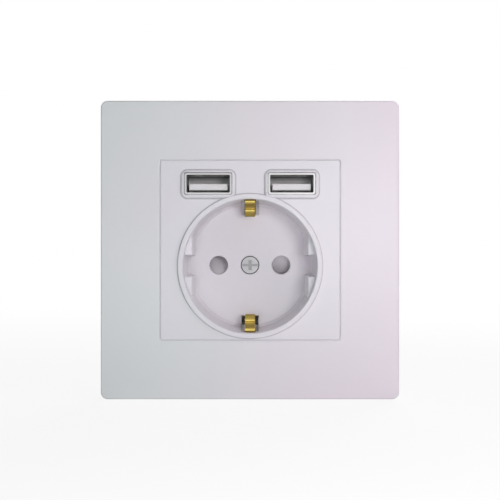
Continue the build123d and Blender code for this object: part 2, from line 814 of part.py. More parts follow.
# Charging ports: steel shell, insulator with its tongue, and four contacts on the tongue
for name, side in (("left", -1), ("right", 1)):
    x = side * port_x
    with BuildPart() as usb_shell:
        with BuildSketch(level(shell_back)):
            with Locations((x, shell_z)):
                RectangleRounded(shell_width, shell_height, shell_corner_radius)
        extrude(amount=shell_length)
        with BuildSketch(level(shell_front - shell_lip_length)):
            with Locations((x, shell_z)):
                RectangleRounded(lip_width, lip_height, shell_lip_radius)
        extrude(amount=shell_lip_length)
        with BuildSketch(level(shell_back)):
            with Locations((x, shell_z)):
                leg_spread = shell_width - shell_sheet
                with GridLocations(leg_spread, 0, 2, 1):
                    Rectangle(shell_sheet, shell_leg_width)
        extrude(amount=-shell_leg_length)
        with BuildSketch(level(shell_back)):
            with Locations((x, shell_z)):
                RectangleRounded(shell_opening_width, shell_opening_height, shell_opening_radius)
        extrude(amount=shell_length, mode=Mode.SUBTRACT)
        finger_front = shell_front - finger_setback
        with BuildSketch(Plane.XY.offset(shell_z)):
            with Locations((x, -(finger_front - finger_length / 2))):
                with GridLocations(finger_spacing, 0, 2, 1):
                    Rectangle(finger_width + 2 * finger_slit, finger_length)
            with Locations((x, -(finger_front - finger_slit - finger_length / 2))):
                with GridLocations(finger_spacing, 0, 2, 1):
                    Rectangle(finger_width, finger_length, mode=Mode.SUBTRACT)
        extrude(amount=shell_height, both=True, mode=Mode.SUBTRACT)
    pieces[f"usb_shell_{name}"] = usb_shell

    tongue_front = shell_front - tongue_setback
    port_contact_front = tongue_front - port_contact_setback
    with BuildPart() as usb_tongue:
        with BuildSketch(level(shell_back)):
            with Locations((x, shell_z)):
                Rectangle(shell_opening_width - 2 * insulator_gap, shell_opening_height - 2 * insulator_gap)
        extrude(amount=insulator_length)
        with BuildSketch(level(shell_back)):
            with Locations((x, tongue_z)):
                Rectangle(tongue_width, tongue_thickness)
        extrude(amount=tongue_front - shell_back)
        chamfer(usb_tongue.faces().sort_by(Axis.Y)[0].edges(), tongue_chamfer)
        with BuildSketch(level(shell_back)):
            for offset in port_contact_offsets:
                with Locations((x + offset, port_contact_z)):
                    groove_width = port_contact_width + 2 * port_contact_groove
                    Rectangle(groove_width, port_contact_thickness + 2 * port_contact_groove)
        extrude(amount=port_contact_front + port_contact_groove - shell_back, mode=Mode.SUBTRACT)
    pieces[f"usb_tongue_{name}"] = usb_tongue

    with BuildPart() as usb_contacts:
        with BuildSketch(level(usb_board_back - port_contact_tail + board_thickness)):
            for offset in port_contact_offsets:
                with Locations((x + offset, port_contact_z)):
                    Rectangle(port_contact_width, port_contact_thickness)
        extrude(amount=port_contact_front - shell_back + port_contact_tail)
    pieces[f"usb_contacts_{name}"] = usb_contacts

# Board behind the ports, its lower edge following the well
with BuildPart() as usb_board:
    with BuildSketch(level(usb_board_back)):
        with Locations((0, (usb_board_top + usb_board_bottom) / 2)):
            Rectangle(usb_board_width, usb_board_top - usb_board_bottom)
        with Locations((0, -well_drop)):
            Circle(support_opening_radius, mode=Mode.SUBTRACT)
        for side in (-1, 1):
            with Locations((side * port_x, shell_z)):
                with GridLocations(shell_width - shell_sheet, 0, 2, 1):
                    slot_height = shell_leg_width + 2 * board_slot_gap
                    Rectangle(shell_sheet + 2 * board_slot_gap, slot_height, mode=Mode.SUBTRACT)
            for offset in port_contact_offsets:
                with Locations((side * port_x + offset, port_contact_z)):
                    slot_width = port_contact_width + 2 * board_slot_gap
                    slot_height = port_contact_thickness + 2 * board_slot_gap
                    Rectangle(slot_width, slot_height, mode=Mode.SUBTRACT)
        pin_hole_width = header_pin_width + 2 * board_pin_gap
        with Locations(*header_pin_points):
            Rectangle(pin_hole_width, pin_hole_width, mode=Mode.SUBTRACT)
    extrude(amount=board_thickness)
pieces["usb_board"] = usb_board

# Charger board, lying on the contact block
with BuildPart() as power_board:
    with BuildSketch(Plane.XY.offset(board_seat_rise)):
        with Locations((0, power_board_front + power_board_length / 2)):
            Rectangle(power_board_width, power_board_length)
        for side in (-1, 1):
            with Locations((side * bar_x, -(bar_front + bar_back) / 2)):
                slot_width = bar_tab_width + 2 * board_pin_gap
                Rectangle(slot_width, contact_sheet + 2 * board_pin_gap, mode=Mode.SUBTRACT)
    extrude(amount=board_thickness)
pieces["power_board"] = power_board

# Transformer: a ferrite frame round a taped winding
with BuildPart() as transformer_core:
    with BuildSketch(Plane.XY.offset(power_board_level + core_lift)):
        with Locations((transformer_x, transformer_depth)):
            Rectangle(transformer_width, core_width)
            Rectangle(transformer_width - 2 * core_leg, transformer_length, mode=Mode.SUBTRACT)
    extrude(amount=transformer_height - core_lift)
    with BuildSketch(Plane.XY.offset(power_board_level + transformer_height - core_leg)):
        with Locations((transformer_x, transformer_depth)):
            Rectangle(transformer_width, core_width)
    extrude(amount=core_leg)
pieces["transformer_core"] = transformer_core

with BuildPart() as transformer_winding:
    with BuildSketch(Plane.XY.offset(power_board_level)):
        with Locations((transformer_x, transformer_depth)):
            winding_width = transformer_width - 2 * (core_leg + winding_gap)
            RectangleRounded(winding_width, transformer_length, winding_corner_radius)
    extrude(amount=transformer_height - core_leg - winding_gap)
pieces["transformer_winding"] = transformer_winding

# Capacitors lying on the board
for name, side, length in (
    ("input_capacitor", -1, capacitor_length),
    ("output_capacitor", 1, output_capacitor_length),
):
    with BuildPart() as capacitor:
        with BuildSketch(level(-(transformer_depth - length / 2))):
            with Locations((side * capacitor_x, power_board_level + capacitor_radius)):
                Circle(capacitor_radius)
        extrude(amount=-length)
        chamfer(capacitor.edges().filter_by(GeomType.CIRCLE), capacitor_chamfer)
    pieces[name] = capacitor

# Control chip and the fusible resistor
with BuildPart() as controller_chip:
    with BuildSketch(Plane.XY.offset(power_board_level)):
        with Locations((capacitor_x, power_board_front + chip_setback + chip_length / 2)):
            Rectangle(chip_width, chip_length)
    extrude(amount=chip_height)
pieces["controller_chip"] = controller_chip

with BuildPart() as fuse_resistor:
    with BuildSketch(Plane.YZ.offset(-capacitor_x - fuse_length / 2)):
        with Locations((power_board_front + fuse_setback + fuse_radius, power_board_level + fuse_radius)):
            Circle(fuse_radius)
    extrude(amount=fuse_length)
    chamfer(fuse_resistor.edges().filter_by(GeomType.CIRCLE), fuse_chamfer)
pieces["fuse_resistor"] = fuse_resistor

# Connector from the charger board to the port board
with BuildPart() as link_header:
    with BuildSketch(Plane.XY.offset(power_board_level)):
        with Locations((0, power_board_front + header_length / 2)):
            Rectangle(header_width, header_length)
    extrude(amount=header_height)
    with BuildSketch(level(-power_board_front)):
        with Locations(*header_pin_points):
            Rectangle(header_pin_width, header_pin_width)
    extrude(amount=-header_length, mode=Mode.SUBTRACT)
pieces["link_header"] = link_header

with BuildPart() as link_pins:
    with BuildSketch(level(-power_board_front - header_length)):
        with Locations(*header_pin_points):
            Rectangle(header_pin_width, header_pin_width)
    extrude(amount=power_board_front + header_length + usb_board_back + board_thickness + header_pin_end)
pieces["link_pins"] = link_pins

for name, piece in pieces.items():
    piece.part.label = name
    export_step(piece.part, f"parts/{name}.step")
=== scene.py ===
# %% [markdown]
# # A wall socket with charging ports
# This lesson dresses a finished solid model of a wall socket: a square pearl-white frame, a plug
# well with brass earth clips, and two charging ports above it. The solids already have the right
# shape, so most of the work here is finish: how satin plastic, brass, nickel and board lacquer
# answer the light.

# %% Load the solids
import math

import bmesh
import bpy
from mathutils import Matrix, Vector


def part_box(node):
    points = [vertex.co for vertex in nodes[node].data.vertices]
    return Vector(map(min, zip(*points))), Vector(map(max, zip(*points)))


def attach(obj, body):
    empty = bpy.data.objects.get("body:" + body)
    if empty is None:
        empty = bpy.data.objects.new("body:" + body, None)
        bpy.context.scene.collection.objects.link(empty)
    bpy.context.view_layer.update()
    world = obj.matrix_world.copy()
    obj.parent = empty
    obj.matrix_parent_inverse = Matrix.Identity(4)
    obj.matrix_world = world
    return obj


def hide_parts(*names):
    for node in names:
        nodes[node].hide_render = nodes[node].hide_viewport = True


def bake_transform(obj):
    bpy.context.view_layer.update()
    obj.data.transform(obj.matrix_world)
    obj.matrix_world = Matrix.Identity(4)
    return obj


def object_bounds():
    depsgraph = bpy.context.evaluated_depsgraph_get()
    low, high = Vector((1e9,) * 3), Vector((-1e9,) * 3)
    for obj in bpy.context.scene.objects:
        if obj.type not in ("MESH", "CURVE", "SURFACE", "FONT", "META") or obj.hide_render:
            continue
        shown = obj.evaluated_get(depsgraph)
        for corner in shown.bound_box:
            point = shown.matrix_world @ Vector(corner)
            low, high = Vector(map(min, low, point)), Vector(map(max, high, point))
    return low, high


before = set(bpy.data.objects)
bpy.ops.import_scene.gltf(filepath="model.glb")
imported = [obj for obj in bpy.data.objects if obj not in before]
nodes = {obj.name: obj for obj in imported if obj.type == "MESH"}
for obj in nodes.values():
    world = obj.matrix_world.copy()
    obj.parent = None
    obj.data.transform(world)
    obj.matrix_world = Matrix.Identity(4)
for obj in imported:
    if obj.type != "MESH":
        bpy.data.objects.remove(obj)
solid_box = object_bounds()
MM = 0.001
print("solids:", len(nodes), "box:", [round(v / MM, 1) for corner in solid_box for v in corner])

# %% [markdown]
# The photograph looks straight at the face from about 29 cm, a little close for a product shot,
# which is why the walls of the well lean outwards in it. A long lens and that distance together
# give the same lean, so the camera is placed by measurement and not by eye.

# %% Camera
lens_length = 71.3
camera_distance = 0.294
plate_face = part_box("cover_frame")[0].y
camera_data = bpy.data.cameras.new("front_camera")
camera_data.lens = lens_length
camera_data.sensor_width = 36.0
camera = bpy.data.objects.new("front_camera", camera_data)
camera.location = (0.0, -camera_distance, 0.0)
camera.rotation_euler = (math.pi / 2, 0.0, 0.0)
bpy.context.scene.collection.objects.link(camera)
bpy.context.scene.camera = camera
print("camera to face:", round((camera_distance + plate_face) / MM), "mm")

# %% [markdown]
# The face is brightest on the right and falls off to the left, yet the floor of the well is lit
# nearly all over. So the lamp that does most stands close beside the lens, a little to the right:
# near enough to fall off across the frame, and frontal enough to look down the well. A pale pink
# lamp high on the right lights the lower left wall of the well, and a small low lamp on the left
# opens the shadow on its right. A pale green lamp goes with the mint tint of the frame's left side,
# and a lamp behind lights the rear housing.

# %% Studio light
def studio_lamp(name, place, size, watts, colour):
    data = bpy.data.lights.new(name, "AREA")
    data.shape = "SQUARE"
    data.size = size
    data.energy = watts
    data.color = colour
    lamp = bpy.data.objects.new(name, data)
    lamp.location = place
    lamp.visible_camera = False
    aim = Vector((0.0, 0.0, 0.0)) - Vector(place)
    lamp.rotation_euler = aim.to_track_quat("-Z", "Y").to_euler()
    bpy.context.scene.collection.objects.link(lamp)


studio_lamp("lens_lamp", (0.06, -0.20, 0.01), size=0.05, watts=0.109, colour=(1.0, 0.98, 0.99))
studio_lamp("pink_lamp", (0.15, -0.12, 0.14), size=0.12, watts=0.135, colour=(1.0, 0.82, 0.98))
studio_lamp("green_lamp", (-0.20, -0.24, -0.02), size=0.12, watts=0.085, colour=(0.76, 1.0, 0.90))
studio_lamp("low_lamp", (-0.05, -0.22, -0.02), size=0.04, watts=0.048, colour=(0.90, 0.88, 1.0))
studio_lamp("back_lamp", (0.20, 0.50, 0.30), size=0.40, watts=2.60, colour=(1.0, 1.0, 1.0))
print("lamps:", len(bpy.data.lights))

# %% [markdown]
# The room, the table and every finish are made of nodes, and most nodes are set up in the same way:
# make one, set its numbers, link what goes in and pass on what comes out. Short helpers do that, so
# the recipes below read like sums. A value may be a number or the output of another node: give()
# links an output and writes anything else into the socket. The second helper is one sum.

# %% Node helpers
def give(tree, value, socket):
    if isinstance(value, bpy.types.NodeSocket):
        tree.links.new(value, socket)
    else:
        socket.default_value = value


def number_step(tree, operation, first, second=None, clamp=False):
    step = tree.nodes.new("ShaderNodeMath")
    step.operation = operation
    step.use_clamp = clamp
    tree.links.new(first, step.inputs[0])
    if second is not None:
        give(tree, second, step.inputs[1])
    return step.outputs["Value"]


print("node helpers: give, number_step")

# %% [markdown]
# The room is white where it is looked at and dim where it lights. A Light Path node tells the two
# apart: rays from the camera, and rays mirrored in metal or passing through glass, see plain white
# at a strength of 1, and all other rays get a weak fill. The table uses the same test.

# %% White room
def looked_at(tree):
    rays = tree.nodes.new("ShaderNodeLightPath").outputs
    seen = number_step(tree, "MAXIMUM", rays["Is Camera Ray"], rays["Is Glossy Ray"])
    return number_step(tree, "MAXIMUM", seen, rays["Is Transmission Ray"])


def mixed_shader(tree, share, first, second):
    mix = tree.nodes.new("ShaderNodeMixShader")
    for number, source in enumerate((share, first, second)):
        tree.links.new(source, mix.inputs[number])
    return mix.outputs[0]


def room_light(tree, colour, strength):
    light = tree.nodes.new("ShaderNodeBackground")
    light.inputs["Color"].default_value = (*colour, 1.0)
    light.inputs["Strength"].default_value = strength
    return light.outputs[0]


fill_strength = 0.10
world = bpy.data.worlds.new("pale_room")
bpy.context.scene.world = world
world.use_nodes = True
sky = world.node_tree
sky.nodes.clear()
room_fill = room_light(sky, (0.97, 0.98, 1.0), fill_strength)
room_white = room_light(sky, (1.0, 1.0, 1.0), 1.0)
room = mixed_shader(sky, looked_at(sky), room_fill, room_white)
sky.links.new(room, sky.nodes.new("ShaderNodeOutputWorld").inputs["Surface"])
bpy.context.scene.view_settings.view_transform = "Standard"
print("room fill:", fill_strength)

# %% Table
table_half = 3.0
table_clearance = 0.2 * MM
table_height = solid_box[0].z - table_clearance
bm = bmesh.new()
bmesh.ops.create_grid(bm, x_segments=1, y_segments=1, size=table_half)
bmesh.ops.translate(bm, verts=bm.verts, vec=(0.0, 0.0, table_height))
table_mesh = bpy.data.meshes.new("table")
bm.to_mesh(table_mesh)
bm.free()
table = bpy.data.objects.new("table", table_mesh)
bpy.context.scene.collection.objects.link(table)
print("table height:", round(table_height / MM, 2), "mm")

# %% [markdown]
# Two more node helpers follow: one does a sum with whole vectors, such as a place, and one carries
# a value from one range over to another, evenly or with soft ends, which turns a distance into a
# fade.

# %% Vector and range helpers
def vector_step(tree, operation, first, second=None):
    step = tree.nodes.new("ShaderNodeVectorMath")
    step.operation = operation
    tree.links.new(first, step.inputs[0])
    if second is not None:
        tree.links.new(second, step.inputs[1])
    return step.outputs["Value" if operation in ("LENGTH", "DOT_PRODUCT") else "Vector"]


def remap(tree, value, start, end, low=0.0, high=1.0, smooth=False):
    step = tree.nodes.new("ShaderNodeMapRange")
    step.interpolation_type = "SMOOTHSTEP" if smooth else "LINEAR"
    limits = {"From Min": start, "From Max": end, "To Min": low, "To Max": high}
    for title, number in limits.items():
        step.inputs[title].default_value = number
    tree.links.new(value, step.inputs["Value"])
    return step.outputs["Result"]


print("node helpers: vector_step, remap")

# %% [markdown]
# Close to the frame the table is partly paper, which takes light and keeps a soft shadow along the
# foot. Further off it fades into the white of the room, so no horizon shows.

# %% Table finish
fade_start = 0.04
fade_end = 0.55
white_at_frame = 0.89
table_white = bpy.data.materials.new("table_white")
table_white.use_nodes = True
tree = table_white.node_tree
tree.nodes.clear()
paper = tree.nodes.new("ShaderNodeBsdfDiffuse")
paper.inputs["Color"].default_value = (0.9, 0.9, 0.9, 1.0)
glow = tree.nodes.new("ShaderNodeEmission")
glow.inputs["Strength"].default_value = 1.0
away = vector_step(tree, "LENGTH", tree.nodes.new("ShaderNodeTexCoord").outputs["Object"])
whiteness = remap(tree, away, fade_start, fade_end, white_at_frame, 1.0, smooth=True)
white_share = number_step(tree, "MULTIPLY", looked_at(tree), whiteness)
surface = mixed_shader(tree, white_share, paper.outputs[0], glow.outputs[0])
tree.links.new(surface, tree.nodes.new("ShaderNodeOutputMaterial").inputs["Surface"])
table_mesh.materials.append(table_white)
print("table all white from", fade_end, "m off")

# %% [markdown]
# Moulded plastic is never quite smooth: the mould was spark-eroded or blasted, and its fine grain
# is on every part. Two sizes of noise make it, a fine one for the grain and a broad one for the
# slow change of tone that pigment leaves. A steady drift of tone from one side to the other is
# added, set per metre along each axis; on the pearl parts this drift is a painted tint of coloured
# light, pink towards the right and mint towards the left. Several plastics share all this, so it is
# a node group.

# %% Shared effect: moulded grain
def effect(name, inputs, outputs):
    group = bpy.data.node_groups.new(name, "ShaderNodeTree")
    for title, kind, value in inputs:
        socket = group.interface.new_socket(title, in_out="INPUT", socket_type=kind)
        if value is not None:
            socket.default_value = value
    for title, kind in outputs:
        group.interface.new_socket(title, in_out="OUTPUT", socket_type=kind)
    given = group.nodes.new("NodeGroupInput").outputs
    made = group.nodes.new("NodeGroupOutput").inputs
    return group, given, made


def noise(tree, place, scale, detail, roughness=0.5):
    texture = tree.nodes.new("ShaderNodeTexNoise")
    texture.inputs["Detail"].default_value = detail
    texture.inputs["Roughness"].default_value = roughness
    tree.links.new(place, texture.inputs["Vector"])
    give(tree, scale, texture.inputs["Scale"])
    return texture.outputs["Fac"]


moulded_grain, given, made = effect(
    "moulded_grain",
    [
        ("Place", "NodeSocketVector", None),
        ("Grain", "NodeSocketFloat", 5000.0),
        ("Cloud", "NodeSocketFloat", 30.0),
        ("Tint Drift", "NodeSocketVector", (0.0, 0.0, 0.0)),
    ],
    [("Height", "NodeSocketFloat"), ("Tone", "NodeSocketFloat")],
)
grain = noise(moulded_grain, given["Place"], given["Grain"], detail=2.0, roughness=0.55)
cloud = noise(moulded_grain, given["Place"], given["Cloud"], detail=1.0)
clear_cloud = remap(moulded_grain, cloud, 0.2, 0.8)
# painted tint of coloured light: the tone drifts steadily along the given axes
drift = vector_step(moulded_grain, "DOT_PRODUCT", given["Place"], given["Tint Drift"])
tone = number_step(moulded_grain, "ADD", clear_cloud, drift, clamp=True)
moulded_grain.links.new(grain, made["Height"])
moulded_grain.links.new(tone, made["Tone"])
print("moulded_grain:", len(moulded_grain.nodes), "nodes")

# %% [markdown]
# Rolled and drawn metal carries fine lines along the way it was drawn. Noise gives them when the
# place is multiplied by a small number along that axis, and a second, round noise gives the
# patches where hands and tools have dulled the surface.

# %% Shared effect: drawn lines
drawn_lines, given, made = effect(
    "drawn_lines",
    [
        ("Place", "NodeSocketVector", None),
        ("Stretch", "NodeSocketVector", (1.0, 1.0, 1.0)),
        ("Lines", "NodeSocketFloat", 4000.0),
    ],
    [("Height", "NodeSocketFloat"), ("Dull", "NodeSocketFloat")],
)
patch_scale = 260.0
stretched = vector_step(drawn_lines, "MULTIPLY", given["Place"], given["Stretch"])
lines = noise(drawn_lines, stretched, given["Lines"], detail=3.0)
patches = noise(drawn_lines, given["Place"], patch_scale, detail=4.0)
drawn_lines.links.new(lines, made["Height"])
drawn_lines.links.new(patches, made["Dull"])
print("drawn_lines:", len(drawn_lines.nodes), "nodes")

# %% [markdown]
# Every finish starts as a Principled BSDF with the place on the piece as its only guide. The next
# helpers make one, put a shared effect in it, mix two colours, and let a height move the roughness
# and raise a shallow bump.

# %% Material helpers
def blank_material(name):
    material = bpy.data.materials.new(name)
    material.use_nodes = True
    tree = material.node_tree
    place = tree.nodes.new("ShaderNodeTexCoord").outputs["Object"]
    return material, tree, tree.nodes["Principled BSDF"].inputs, place


def use_effect(tree, group, values):
    node = tree.nodes.new("ShaderNodeGroup")
    node.node_tree = group
    for title, value in values.items():
        give(tree, value, node.inputs[title])
    return node.outputs


def mixed_colour(tree, factor, first, second):
    mix = tree.nodes.new("ShaderNodeMix")
    mix.data_type = "RGBA"
    tree.links.new(factor, mix.inputs["Factor"])
    for title, colour in (("A", first), ("B", second)):
        written = (*colour, 1.0) if isinstance(colour, tuple) else colour
        give(tree, written, mix.inputs[title])
    return mix.outputs["Result"]


def bumped(tree, surface, height, strength, depth):
    bump = tree.nodes.new("ShaderNodeBump")
    bump.inputs["Strength"].default_value = strength
    bump.inputs["Distance"].default_value = depth
    tree.links.new(height, bump.inputs["Height"])
    tree.links.new(bump.outputs["Normal"], surface["Normal"])


def roughened(tree, surface, height, rough, spread):
    roughness = remap(tree, height, 0.0, 1.0, rough - spread, rough + spread)
    tree.links.new(roughness, surface["Roughness"])


print("material helpers: blank_material, use_effect, mixed_colour, bumped, roughened")

# %% [markdown]
# Each plastic is the same recipe with its own numbers: two close colours mixed by the slow tone,
# a roughness that moves a little with the grain, and the grain itself as a very shallow bump.

# %% Plastics
def plastic(
    name,
    first,
    second,
    rough,
    grain=5000.0,
    cloud=30.0,
    tint_drift=(0.0, 0.0, 0.0),
    depth=0.01 * MM,
    coat=0.0,
):
    material, tree, surface, place = blank_material(name)
    values = {"Place": place, "Grain": grain, "Cloud": cloud, "Tint Drift": tint_drift}
    skin = use_effect(tree, moulded_grain, values)
    tree.links.new(mixed_colour(tree, skin["Tone"], first, second), surface["Base Color"])
    roughened(tree, surface, skin["Height"], rough, spread=0.06)
    bumped(tree, surface, skin["Height"], strength=0.35, depth=depth)
    surface["Coat Weight"].default_value = coat
    surface["Coat Roughness"].default_value = 0.3
    return material


# The frame's tint drift paints coloured light: mint on the left, pink on the right
pearl_white = plastic(
    "pearl_white",
    (0.835, 0.79, 0.827),
    (0.785, 0.83, 0.81),
    rough=0.42,
    cloud=18.0,
    tint_drift=(-14.0, 0.0, 2.0),
    coat=0.12,
)
insulator_white = plastic("insulator_white", (0.80, 0.80, 0.79), (0.84, 0.84, 0.83), rough=0.5)
housing_grey = plastic(
    "housing_grey", (0.44, 0.45, 0.46), (0.50, 0.51, 0.52), rough=0.55, depth=0.03 * MM
)
shutter_grey = plastic("shutter_grey", (0.86, 0.83, 0.86), (0.90, 0.87, 0.90), rough=0.5)
chip_black = plastic("chip_black", (0.018, 0.018, 0.02), (0.03, 0.03, 0.032), rough=0.6)
ferrite_black = plastic(
    "ferrite_black", (0.035, 0.035, 0.038), (0.06, 0.058, 0.06), rough=0.7, grain=2500.0
)
tape_yellow = plastic(
    "tape_yellow", (0.72, 0.50, 0.03), (0.80, 0.58, 0.05), rough=0.25, coat=0.4
)
sleeve_black = plastic(
    "sleeve_black", (0.02, 0.022, 0.03), (0.03, 0.032, 0.045), rough=0.22, coat=0.3
)
lacquer_blue = plastic(
    "lacquer_blue", (0.10, 0.28, 0.36), (0.13, 0.33, 0.42), rough=0.25, coat=0.4
)
print("materials so far:", len(bpy.data.materials))

# %% [markdown]
# The metals differ in colour, in the way their lines run and in how dull they have become. Along
# an axis where Stretch is small the lines run long. Spring wire and tin show no way, so theirs is
# even.

# %% Metals
def metal(name, bright, dull, rough, stretch, lines=4000.0, depth=0.004 * MM):
    material, tree, surface, place = blank_material(name)
    values = {"Place": place, "Stretch": stretch, "Lines": lines}
    skin = use_effect(tree, drawn_lines, values)
    tree.links.new(mixed_colour(tree, skin["Dull"], bright, dull), surface["Base Color"])
    roughened(tree, surface, skin["Height"], rough, spread=0.1)
    bumped(tree, surface, skin["Height"], strength=0.3, depth=depth)
    surface["Metallic"].default_value = 1.0
    return material


even = (1.0, 1.0, 1.0)
along_screw = (1.0, 0.1, 1.0)
clip_brass = metal(
    "clip_brass", (0.62, 0.49, 0.14), (0.40, 0.29, 0.07), rough=0.32, stretch=(1.0, 0.06, 0.06)
)
contact_brass = metal(
    "contact_brass", (0.82, 0.66, 0.34), (0.66, 0.50, 0.22), rough=0.36, stretch=(1.0, 0.06, 1.0)
)
port_nickel = metal(
    "port_nickel",
    (0.38, 0.38, 0.38),
    (0.33, 0.33, 0.33),
    rough=0.42,
    stretch=(1.0, 0.05, 1.0),
    depth=0.001 * MM,
)
plate_zinc = metal(
    "plate_zinc",
    (0.56, 0.57, 0.58),
    (0.44, 0.45, 0.46),
    rough=0.42,
    stretch=(0.05, 1.0, 1.0),
    lines=2500.0,
)
screw_zinc = metal(
    "screw_zinc", (0.60, 0.59, 0.58), (0.47, 0.46, 0.46), rough=0.36, stretch=along_screw
)
head_nickel = metal(
    "head_nickel", (0.29, 0.29, 0.29), (0.23, 0.23, 0.23), rough=0.42, stretch=along_screw
)
spring_steel = metal(
    "spring_steel", (0.50, 0.50, 0.51), (0.38, 0.38, 0.39), rough=0.3, stretch=even
)
bright_tin = metal("bright_tin", (0.70, 0.71, 0.72), (0.55, 0.56, 0.57), rough=0.28, stretch=even)
print("materials so far:", len(bpy.data.materials))

# %% [markdown]
# The screw in the middle of the well gets darker metal below the face of its head: painted shade,
# since light does not get to the bottom of a narrow recess, together with the dust that does. The
# port shells go the other way: their metal is paler inside than at the front edge. One helper mixes
# in the second colour by depth.

# %% Change with depth
def place_axes(tree):
    axes = tree.nodes.new("ShaderNodeSeparateXYZ")
    tree.links.new(tree.nodes.new("ShaderNodeTexCoord").outputs["Object"], axes.inputs[0])
    return axes.outputs


def mix_into_base(material, factor, colour):
    tree = material.node_tree
    base = tree.nodes["Principled BSDF"].inputs["Base Color"]
    plain = base.links[0].from_socket
    tree.links.new(mixed_colour(tree, factor, plain, colour), base)


def change_with_depth(material, start, end, deep_colour):
    tree = material.node_tree
    sunk = remap(tree, place_axes(tree)["Y"], start, end)
    mix_into_base(material, sunk, deep_colour)


head_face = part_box("centre_screw")[0].y
shade_start = head_face + 0.07 * MM
shade_end = head_face + 0.42 * MM
# painted shade and dust in the recess of the screw head: darker metal below its face
change_with_depth(head_nickel, shade_start, shade_end, (0.19, 0.19, 0.195))
shell_low, shell_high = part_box("usb_shell_right")
paler_start = shell_low.y + 0.3 * MM
paler_end = shell_low.y + 1.2 * MM
# the shell metal is paler inside than at its front edge
change_with_depth(port_nickel, paler_start, paler_end, (0.52, 0.52, 0.52))
print("screw head at", round(head_face / MM, 2), "mm")
print("port edge at", round(shell_low.y / MM, 2), "mm")

# %% [markdown]
# The white tongue in a port stands in front of its insulator. The wall behind it is painted with
# light and shade: pale just above the tongue, as if lit by light thrown up from the tongue, and
# nearly black under the roof of the shell, where shade falls.

# %% Port insulators
tongue_white = plastic("tongue_white", (0.84, 0.84, 0.83), (0.88, 0.88, 0.87), rough=0.5)
tongue_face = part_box("usb_tongue_right")[0].y
wall_start = tongue_face + 0.6 * MM
wall_end = tongue_face + 3.6 * MM
port_z = (shell_low.z + shell_high.z) / 2
full_shade_z = shell_high.z - 0.6 * MM
tree = tongue_white.node_tree
# painted light and shade on the insulator wall: pale just above the tongue, nearly black under the
# roof
roof_shade_share = remap(tree, place_axes(tree)["Z"], port_z, full_shade_z, smooth=True)
painted_wall_light_and_shade = mixed_colour(tree, roof_shade_share, (0.92, 0.92, 0.91), (0.09, 0.09, 0.092))
change_with_depth(tongue_white, wall_start, wall_end, painted_wall_light_and_shade)
print("tongue face at", round(tongue_face / MM, 2), "mm")

# %% [markdown]
# Where the rim of the well and the surrounds of the ports rise from the plate, the inner corner
# gets a thin line of painted shade that draws their outline. A node group makes its mask. It
# measures how far a point lies from a rounded rectangle, and how far above the plate, and the mask
# is 1 where both are nothing. A circle is a rounded rectangle too, whose corner radius is all of
# its half width, so the round rim and the oblong surrounds share the group. Taking the size of X
# first lets one outline serve both ports, which stand as mirror images.

# %% Shared effect: painted corner shade
def fade_out(tree, distance, width):
    share = number_step(tree, "DIVIDE", distance, width)
    return remap(tree, share, 1.0, 0.0, smooth=True)


painted_corner_shade, given, made = effect(
    "painted_corner_shade",
    [
        ("Place", "NodeSocketVector", None),
        ("Centre", "NodeSocketVector", (0.0, 0.0, 0.0)),
        ("Half", "NodeSocketVector", (0.01, 0.0, 0.01)),
        ("Corner", "NodeSocketFloat", 0.002),
        ("Face", "NodeSocketFloat", 0.0),
        ("Width", "NodeSocketFloat", 0.0003),
    ],
    [("Mask", "NodeSocketFloat")],
)
axes = painted_corner_shade.nodes.new("ShaderNodeSeparateXYZ")
folded = painted_corner_shade.nodes.new("ShaderNodeCombineXYZ")
painted_corner_shade.links.new(given["Place"], axes.inputs[0])
painted_corner_shade.links.new(number_step(painted_corner_shade, "ABSOLUTE", axes.outputs["X"]), folded.inputs["X"])
painted_corner_shade.links.new(axes.outputs["Z"], folded.inputs["Z"])
from_centre = vector_step(painted_corner_shade, "SUBTRACT", folded.outputs[0], given["Centre"])
quarter = vector_step(painted_corner_shade, "ABSOLUTE", from_centre)
past_straight = vector_step(painted_corner_shade, "SUBTRACT", quarter, given["Half"])
reach = vector_step(painted_corner_shade, "LENGTH", vector_step(painted_corner_shade, "MAXIMUM", past_straight))
apart = number_step(painted_corner_shade, "SUBTRACT", reach, given["Corner"])
beside = fade_out(painted_corner_shade, number_step(painted_corner_shade, "ABSOLUTE", apart), given["Width"])
height = number_step(painted_corner_shade, "SUBTRACT", given["Face"], axes.outputs["Y"])
above = fade_out(painted_corner_shade, height, given["Width"])
painted_corner_shade.links.new(number_step(painted_corner_shade, "MULTIPLY", beside, above), made["Mask"])
print("painted_corner_shade:", len(painted_corner_shade.nodes), "nodes")

# %% [markdown]
# The insert is pearl plastic like the frame, and its painted tint of coloured light drifts another
# way, pinker towards the right and down in the well. The painted lines of corner shade are mixed
# into its colour. Half is the straight part of each side: half the width less the corner radius.

# %% Insert finish
# The insert's tint drift paints coloured light: pinker towards the right and down in the well
insert_white = plastic(
    "insert_white",
    (0.84, 0.795, 0.84),
    (0.805, 0.825, 0.83),
    rough=0.42,
    cloud=18.0,
    tint_drift=(-5.0, -18.0, 6.0),
    coat=0.12,
)
corner_shade_grey = (0.44, 0.42, 0.45)
shade_line_width = 0.4 * MM
rim_radius = 20.8 * MM
surround_size = Vector((15.7, 0.0, 8.25)) * MM
surround_corner = 1.9 * MM
surround_drop = 0.15 * MM
screw_low, screw_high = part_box("centre_screw")
well_z = (screw_low.z + screw_high.z) / 2
rim_centre = (0.0, 0.0, well_z)
port_centre = ((shell_low.x + shell_high.x) / 2, 0.0, port_z - surround_drop)
port_half = surround_size / 2 - Vector((surround_corner, 0.0, surround_corner))
tree = insert_white.node_tree
place = tree.nodes.new("ShaderNodeTexCoord").outputs["Object"]
masks = []
